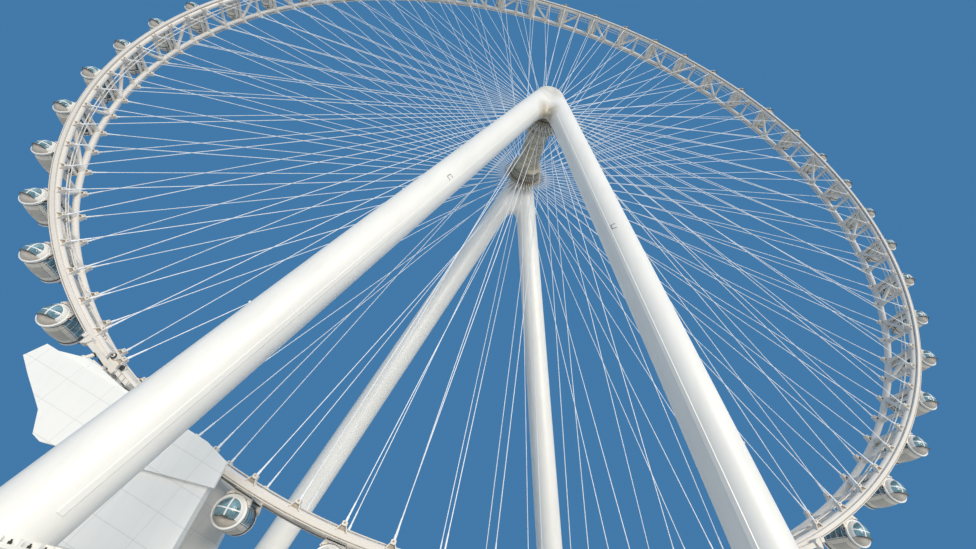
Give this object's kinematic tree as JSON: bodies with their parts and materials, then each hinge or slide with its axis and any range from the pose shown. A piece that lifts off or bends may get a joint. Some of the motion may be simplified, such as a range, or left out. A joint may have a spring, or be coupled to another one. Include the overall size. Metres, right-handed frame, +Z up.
{
  "type": "scale model of a giant observation wheel",
  "caption": "Scale model of a giant observation wheel: cable-braced rim on two A-shaped leg frames, with ovoid cabins that stay level as it turns.",
  "frame": {"origin": "ground level, straight under the middle of the hub", "axes": "+Z up; +Y along the wheel's axle, away from the front; +X to the right seen from the front"},
  "size_m": [24.5932, 8.0198, 24.8966],
  "materials": {
    "painted_steel": "smooth warm white paint, satin",
    "cable_steel": "pale grey sheathed cable",
    "cabin_shell": "white and light grey panels with tinted glazing"
  },
  "bodies": {
    "base": {"front_left_leg": "painted_steel", "front_right_leg": "painted_steel", "rear_left_leg": "painted_steel", "rear_right_leg": "painted_steel", "spindle": "painted_steel", "boarding_platform": "painted_steel"},
    "wheel": {"hub": "painted_steel", "front_rim": "painted_steel", "rear_rim": "painted_steel", "rim_ladder": "painted_steel", "front_spokes": "cable_steel", "rear_spokes": "cable_steel"},
    "cabin_01": {"cabin_01": "cabin_shell"},
    "cabin_02": {"cabin_02": "cabin_shell"},
    "cabin_03": {"cabin_03": "cabin_shell"},
    "cabin_04": {"cabin_04": "cabin_shell"},
    "cabin_05": {"cabin_05": "cabin_shell"},
    "cabin_06": {"cabin_06": "cabin_shell"},
    "cabin_07": {"cabin_07": "cabin_shell"},
    "cabin_08": {"cabin_08": "cabin_shell"},
    "cabin_09": {"cabin_09": "cabin_shell"},
    "cabin_10": {"cabin_10": "cabin_shell"},
    "cabin_11": {"cabin_11": "cabin_shell"},
    "cabin_12": {"cabin_12": "cabin_shell"},
    "cabin_13": {"cabin_13": "cabin_shell"},
    "cabin_14": {"cabin_14": "cabin_shell"},
    "cabin_15": {"cabin_15": "cabin_shell"},
    "cabin_16": {"cabin_16": "cabin_shell"},
    "cabin_17": {"cabin_17": "cabin_shell"},
    "cabin_18": {"cabin_18": "cabin_shell"},
    "cabin_19": {"cabin_19": "cabin_shell"},
    "cabin_20": {"cabin_20": "cabin_shell"},
    "cabin_21": {"cabin_21": "cabin_shell"},
    "cabin_22": {"cabin_22": "cabin_shell"},
    "cabin_23": {"cabin_23": "cabin_shell"},
    "cabin_24": {"cabin_24": "cabin_shell"},
    "cabin_25": {"cabin_25": "cabin_shell"},
    "cabin_26": {"cabin_26": "cabin_shell"},
    "cabin_27": {"cabin_27": "cabin_shell"},
    "cabin_28": {"cabin_28": "cabin_shell"},
    "cabin_29": {"cabin_29": "cabin_shell"},
    "cabin_30": {"cabin_30": "cabin_shell"},
    "cabin_31": {"cabin_31": "cabin_shell"},
    "cabin_32": {"cabin_32": "cabin_shell"},
    "cabin_33": {"cabin_33": "cabin_shell"},
    "cabin_34": {"cabin_34": "cabin_shell"},
    "cabin_35": {"cabin_35": "cabin_shell"},
    "cabin_36": {"cabin_36": "cabin_shell"},
    "cabin_37": {"cabin_37": "cabin_shell"},
    "cabin_38": {"cabin_38": "cabin_shell"},
    "cabin_39": {"cabin_39": "cabin_shell"},
    "cabin_40": {"cabin_40": "cabin_shell"},
    "cabin_41": {"cabin_41": "cabin_shell"},
    "cabin_42": {"cabin_42": "cabin_shell"},
    "cabin_43": {"cabin_43": "cabin_shell"},
    "cabin_44": {"cabin_44": "cabin_shell"},
    "cabin_45": {"cabin_45": "cabin_shell"},
    "cabin_46": {"cabin_46": "cabin_shell"},
    "cabin_47": {"cabin_47": "cabin_shell"},
    "cabin_48": {"cabin_48": "cabin_shell"}
  },
  "joints": [
    {"name": "wheel_turn", "type": "hinge", "parent": "base", "child": "wheel", "pos_m": [0, 0, 12.6], "axis": [0, 1, 0], "continuous": true},
    {"name": "cabin_01_level", "type": "hinge", "parent": "wheel", "child": "cabin_01", "pos_m": [-7.26569, 0, 2.97559], "axis": [0, 1, 0], "continuous": true},
    {"name": "cabin_02_level", "type": "hinge", "parent": "wheel", "child": "cabin_02", "pos_m": [-8.45977, 0, 4.00629], "axis": [0, 1, 0], "continuous": true},
    {"name": "cabin_03_level", "type": "hinge", "parent": "wheel", "child": "cabin_03", "pos_m": [-9.5091, 0, 5.18403], "axis": [0, 1, 0], "continuous": true},
    {"name": "cabin_04_level", "type": "hinge", "parent": "wheel", "child": "cabin_04", "pos_m": [-10.39572, 0, 6.48867], "axis": [0, 1, 0], "continuous": true},
    {"name": "cabin_05_level", "type": "hinge", "parent": "wheel", "child": "cabin_05", "pos_m": [-11.10448, 0, 7.89786], "axis": [0, 1, 0], "continuous": true},
    {"name": "cabin_06_level", "type": "hinge", "parent": "wheel", "child": "cabin_06", "pos_m": [-11.62323, 0, 9.38751], "axis": [0, 1, 0], "continuous": true},
    {"name": "cabin_07_level", "type": "hinge", "parent": "wheel", "child": "cabin_07", "pos_m": [-11.9431, 0, 10.93213], "axis": [0, 1, 0], "continuous": true},
    {"name": "cabin_08_level", "type": "hinge", "parent": "wheel", "child": "cabin_08", "pos_m": [-12.05863, 0, 12.50529], "axis": [0, 1, 0], "continuous": true},
    {"name": "cabin_09_level", "type": "hinge", "parent": "wheel", "child": "cabin_09", "pos_m": [-11.96783, 0, 14.08007], "axis": [0, 1, 0], "continuous": true},
    {"name": "cabin_10_level", "type": "hinge", "parent": "wheel", "child": "cabin_10", "pos_m": [-11.67225, 0, 15.62952], "axis": [0, 1, 0], "continuous": true},
    {"name": "cabin_11_level", "type": "hinge", "parent": "wheel", "child": "cabin_11", "pos_m": [-11.17696, 0, 17.12714], "axis": [0, 1, 0], "continuous": true},
    {"name": "cabin_12_level", "type": "hinge", "parent": "wheel", "child": "cabin_12", "pos_m": [-10.49043, 0, 18.54729], "axis": [0, 1, 0], "continuous": true},
    {"name": "cabin_13_level", "type": "hinge", "parent": "wheel", "child": "cabin_13", "pos_m": [-9.62441, 0, 19.86569], "axis": [0, 1, 0], "continuous": true},
    {"name": "cabin_14_level", "type": "hinge", "parent": "wheel", "child": "cabin_14", "pos_m": [-8.59371, 0, 21.05977], "axis": [0, 1, 0], "continuous": true},
    {"name": "cabin_15_level", "type": "hinge", "parent": "wheel", "child": "cabin_15", "pos_m": [-7.41597, 0, 22.1091], "axis": [0, 1, 0], "continuous": true},
    {"name": "cabin_16_level", "type": "hinge", "parent": "wheel", "child": "cabin_16", "pos_m": [-6.11134, 0, 22.99572], "axis": [0, 1, 0], "continuous": true},
    {"name": "cabin_17_level", "type": "hinge", "parent": "wheel", "child": "cabin_17", "pos_m": [-4.70214, 0, 23.70448], "axis": [0, 1, 0], "continuous": true},
    {"name": "cabin_18_level", "type": "hinge", "parent": "wheel", "child": "cabin_18", "pos_m": [-3.21249, 0, 24.22323], "axis": [0, 1, 0], "continuous": true},
    {"name": "cabin_19_level", "type": "hinge", "parent": "wheel", "child": "cabin_19", "pos_m": [-1.66787, 0, 24.5431], "axis": [0, 1, 0], "continuous": true},
    {"name": "cabin_20_level", "type": "hinge", "parent": "wheel", "child": "cabin_20", "pos_m": [-0.09471, 0, 24.65863], "axis": [0, 1, 0], "continuous": true},
    {"name": "cabin_21_level", "type": "hinge", "parent": "wheel", "child": "cabin_21", "pos_m": [1.48007, 0, 24.56783], "axis": [0, 1, 0], "continuous": true},
    {"name": "cabin_22_level", "type": "hinge", "parent": "wheel", "child": "cabin_22", "pos_m": [3.02952, 0, 24.27225], "axis": [0, 1, 0], "continuous": true},
    {"name": "cabin_23_level", "type": "hinge", "parent": "wheel", "child": "cabin_23", "pos_m": [4.52714, 0, 23.77696], "axis": [0, 1, 0], "continuous": true},
    {"name": "cabin_24_level", "type": "hinge", "parent": "wheel", "child": "cabin_24", "pos_m": [5.94729, 0, 23.09043], "axis": [0, 1, 0], "continuous": true},
    {"name": "cabin_25_level", "type": "hinge", "parent": "wheel", "child": "cabin_25", "pos_m": [7.26569, 0, 22.22441], "axis": [0, 1, 0], "continuous": true},
    {"name": "cabin_26_level", "type": "hinge", "parent": "wheel", "child": "cabin_26", "pos_m": [8.45977, 0, 21.19371], "axis": [0, 1, 0], "continuous": true},
    {"name": "cabin_27_level", "type": "hinge", "parent": "wheel", "child": "cabin_27", "pos_m": [9.5091, 0, 20.01597], "axis": [0, 1, 0], "continuous": true},
    {"name": "cabin_28_level", "type": "hinge", "parent": "wheel", "child": "cabin_28", "pos_m": [10.39572, 0, 18.71133], "axis": [0, 1, 0], "continuous": true},
    {"name": "cabin_29_level", "type": "hinge", "parent": "wheel", "child": "cabin_29", "pos_m": [11.10448, 0, 17.30214], "axis": [0, 1, 0], "continuous": true},
    {"name": "cabin_30_level", "type": "hinge", "parent": "wheel", "child": "cabin_30", "pos_m": [11.62323, 0, 15.81249], "axis": [0, 1, 0], "continuous": true},
    {"name": "cabin_31_level", "type": "hinge", "parent": "wheel", "child": "cabin_31", "pos_m": [11.9431, 0, 14.26787], "axis": [0, 1, 0], "continuous": true},
    {"name": "cabin_32_level", "type": "hinge", "parent": "wheel", "child": "cabin_32", "pos_m": [12.05863, 0, 12.69471], "axis": [0, 1, 0], "continuous": true},
    {"name": "cabin_33_level", "type": "hinge", "parent": "wheel", "child": "cabin_33", "pos_m": [11.96783, 0, 11.11993], "axis": [0, 1, 0], "continuous": true},
    {"name": "cabin_34_level", "type": "hinge", "parent": "wheel", "child": "cabin_34", "pos_m": [11.67225, 0, 9.57048], "axis": [0, 1, 0], "continuous": true},
    {"name": "cabin_35_level", "type": "hinge", "parent": "wheel", "child": "cabin_35", "pos_m": [11.17696, 0, 8.07286], "axis": [0, 1, 0], "continuous": true},
    {"name": "cabin_36_level", "type": "hinge", "parent": "wheel", "child": "cabin_36", "pos_m": [10.49043, 0, 6.65271], "axis": [0, 1, 0], "continuous": true},
    {"name": "cabin_37_level", "type": "hinge", "parent": "wheel", "child": "cabin_37", "pos_m": [9.62441, 0, 5.33431], "axis": [0, 1, 0], "continuous": true},
    {"name": "cabin_38_level", "type": "hinge", "parent": "wheel", "child": "cabin_38", "pos_m": [8.59371, 0, 4.14023], "axis": [0, 1, 0], "continuous": true},
    {"name": "cabin_39_level", "type": "hinge", "parent": "wheel", "child": "cabin_39", "pos_m": [7.41597, 0, 3.0909], "axis": [0, 1, 0], "continuous": true},
    {"name": "cabin_40_level", "type": "hinge", "parent": "wheel", "child": "cabin_40", "pos_m": [6.11134, 0, 2.20428], "axis": [0, 1, 0], "continuous": true},
    {"name": "cabin_41_level", "type": "hinge", "parent": "wheel", "child": "cabin_41", "pos_m": [4.70214, 0, 1.49552], "axis": [0, 1, 0], "continuous": true},
    {"name": "cabin_42_level", "type": "hinge", "parent": "wheel", "child": "cabin_42", "pos_m": [3.21249, 0, 0.97677], "axis": [0, 1, 0], "continuous": true},
    {"name": "cabin_43_level", "type": "hinge", "parent": "wheel", "child": "cabin_43", "pos_m": [1.66787, 0, 0.6569], "axis": [0, 1, 0], "continuous": true},
    {"name": "cabin_44_level", "type": "hinge", "parent": "wheel", "child": "cabin_44", "pos_m": [0.09471, 0, 0.54137], "axis": [0, 1, 0], "continuous": true},
    {"name": "cabin_45_level", "type": "hinge", "parent": "wheel", "child": "cabin_45", "pos_m": [-1.48007, 0, 0.63217], "axis": [0, 1, 0], "continuous": true},
    {"name": "cabin_46_level", "type": "hinge", "parent": "wheel", "child": "cabin_46", "pos_m": [-3.02952, 0, 0.92775], "axis": [0, 1, 0], "continuous": true},
    {"name": "cabin_47_level", "type": "hinge", "parent": "wheel", "child": "cabin_47", "pos_m": [-4.52714, 0, 1.42304], "axis": [0, 1, 0], "continuous": true},
    {"name": "cabin_48_level", "type": "hinge", "parent": "wheel", "child": "cabin_48", "pos_m": [-5.94729, 0, 2.10957], "axis": [0, 1, 0], "continuous": true}
  ],
  "couplings": [
    {"joint": "cabin_01_level", "follows": "wheel_turn", "ratio": -1},
    {"joint": "cabin_02_level", "follows": "wheel_turn", "ratio": -1},
    {"joint": "cabin_03_level", "follows": "wheel_turn", "ratio": -1},
    {"joint": "cabin_04_level", "follows": "wheel_turn", "ratio": -1},
    {"joint": "cabin_05_level", "follows": "wheel_turn", "ratio": -1},
    {"joint": "cabin_06_level", "follows": "wheel_turn", "ratio": -1},
    {"joint": "cabin_07_level", "follows": "wheel_turn", "ratio": -1},
    {"joint": "cabin_08_level", "follows": "wheel_turn", "ratio": -1},
    {"joint": "cabin_09_level", "follows": "wheel_turn", "ratio": -1},
    {"joint": "cabin_10_level", "follows": "wheel_turn", "ratio": -1},
    {"joint": "cabin_11_level", "follows": "wheel_turn", "ratio": -1},
    {"joint": "cabin_12_level", "follows": "wheel_turn", "ratio": -1},
    {"joint": "cabin_13_level", "follows": "wheel_turn", "ratio": -1},
    {"joint": "cabin_14_level", "follows": "wheel_turn", "ratio": -1},
    {"joint": "cabin_15_level", "follows": "wheel_turn", "ratio": -1},
    {"joint": "cabin_16_level", "follows": "wheel_turn", "ratio": -1},
    {"joint": "cabin_17_level", "follows": "wheel_turn", "ratio": -1},
    {"joint": "cabin_18_level", "follows": "wheel_turn", "ratio": -1},
    {"joint": "cabin_19_level", "follows": "wheel_turn", "ratio": -1},
    {"joint": "cabin_20_level", "follows": "wheel_turn", "ratio": -1},
    {"joint": "cabin_21_level", "follows": "wheel_turn", "ratio": -1},
    {"joint": "cabin_22_level", "follows": "wheel_turn", "ratio": -1},
    {"joint": "cabin_23_level", "follows": "wheel_turn", "ratio": -1},
    {"joint": "cabin_24_level", "follows": "wheel_turn", "ratio": -1},
    {"joint": "cabin_25_level", "follows": "wheel_turn", "ratio": -1},
    {"joint": "cabin_26_level", "follows": "wheel_turn", "ratio": -1},
    {"joint": "cabin_27_level", "follows": "wheel_turn", "ratio": -1},
    {"joint": "cabin_28_level", "follows": "wheel_turn", "ratio": -1},
    {"joint": "cabin_29_level", "follows": "wheel_turn", "ratio": -1},
    {"joint": "cabin_30_level", "follows": "wheel_turn", "ratio": -1},
    {"joint": "cabin_31_level", "follows": "wheel_turn", "ratio": -1},
    {"joint": "cabin_32_level", "follows": "wheel_turn", "ratio": -1},
    {"joint": "cabin_33_level", "follows": "wheel_turn", "ratio": -1},
    {"joint": "cabin_34_level", "follows": "wheel_turn", "ratio": -1},
    {"joint": "cabin_35_level", "follows": "wheel_turn", "ratio": -1},
    {"joint": "cabin_36_level", "follows": "wheel_turn", "ratio": -1},
    {"joint": "cabin_37_level", "follows": "wheel_turn", "ratio": -1},
    {"joint": "cabin_38_level", "follows": "wheel_turn", "ratio": -1},
    {"joint": "cabin_39_level", "follows": "wheel_turn", "ratio": -1},
    {"joint": "cabin_40_level", "follows": "wheel_turn", "ratio": -1},
    {"joint": "cabin_41_level", "follows": "wheel_turn", "ratio": -1},
    {"joint": "cabin_42_level", "follows": "wheel_turn", "ratio": -1},
    {"joint": "cabin_43_level", "follows": "wheel_turn", "ratio": -1},
    {"joint": "cabin_44_level", "follows": "wheel_turn", "ratio": -1},
    {"joint": "cabin_45_level", "follows": "wheel_turn", "ratio": -1},
    {"joint": "cabin_46_level", "follows": "wheel_turn", "ratio": -1},
    {"joint": "cabin_47_level", "follows": "wheel_turn", "ratio": -1},
    {"joint": "cabin_48_level", "follows": "wheel_turn", "ratio": -1}
  ]
}
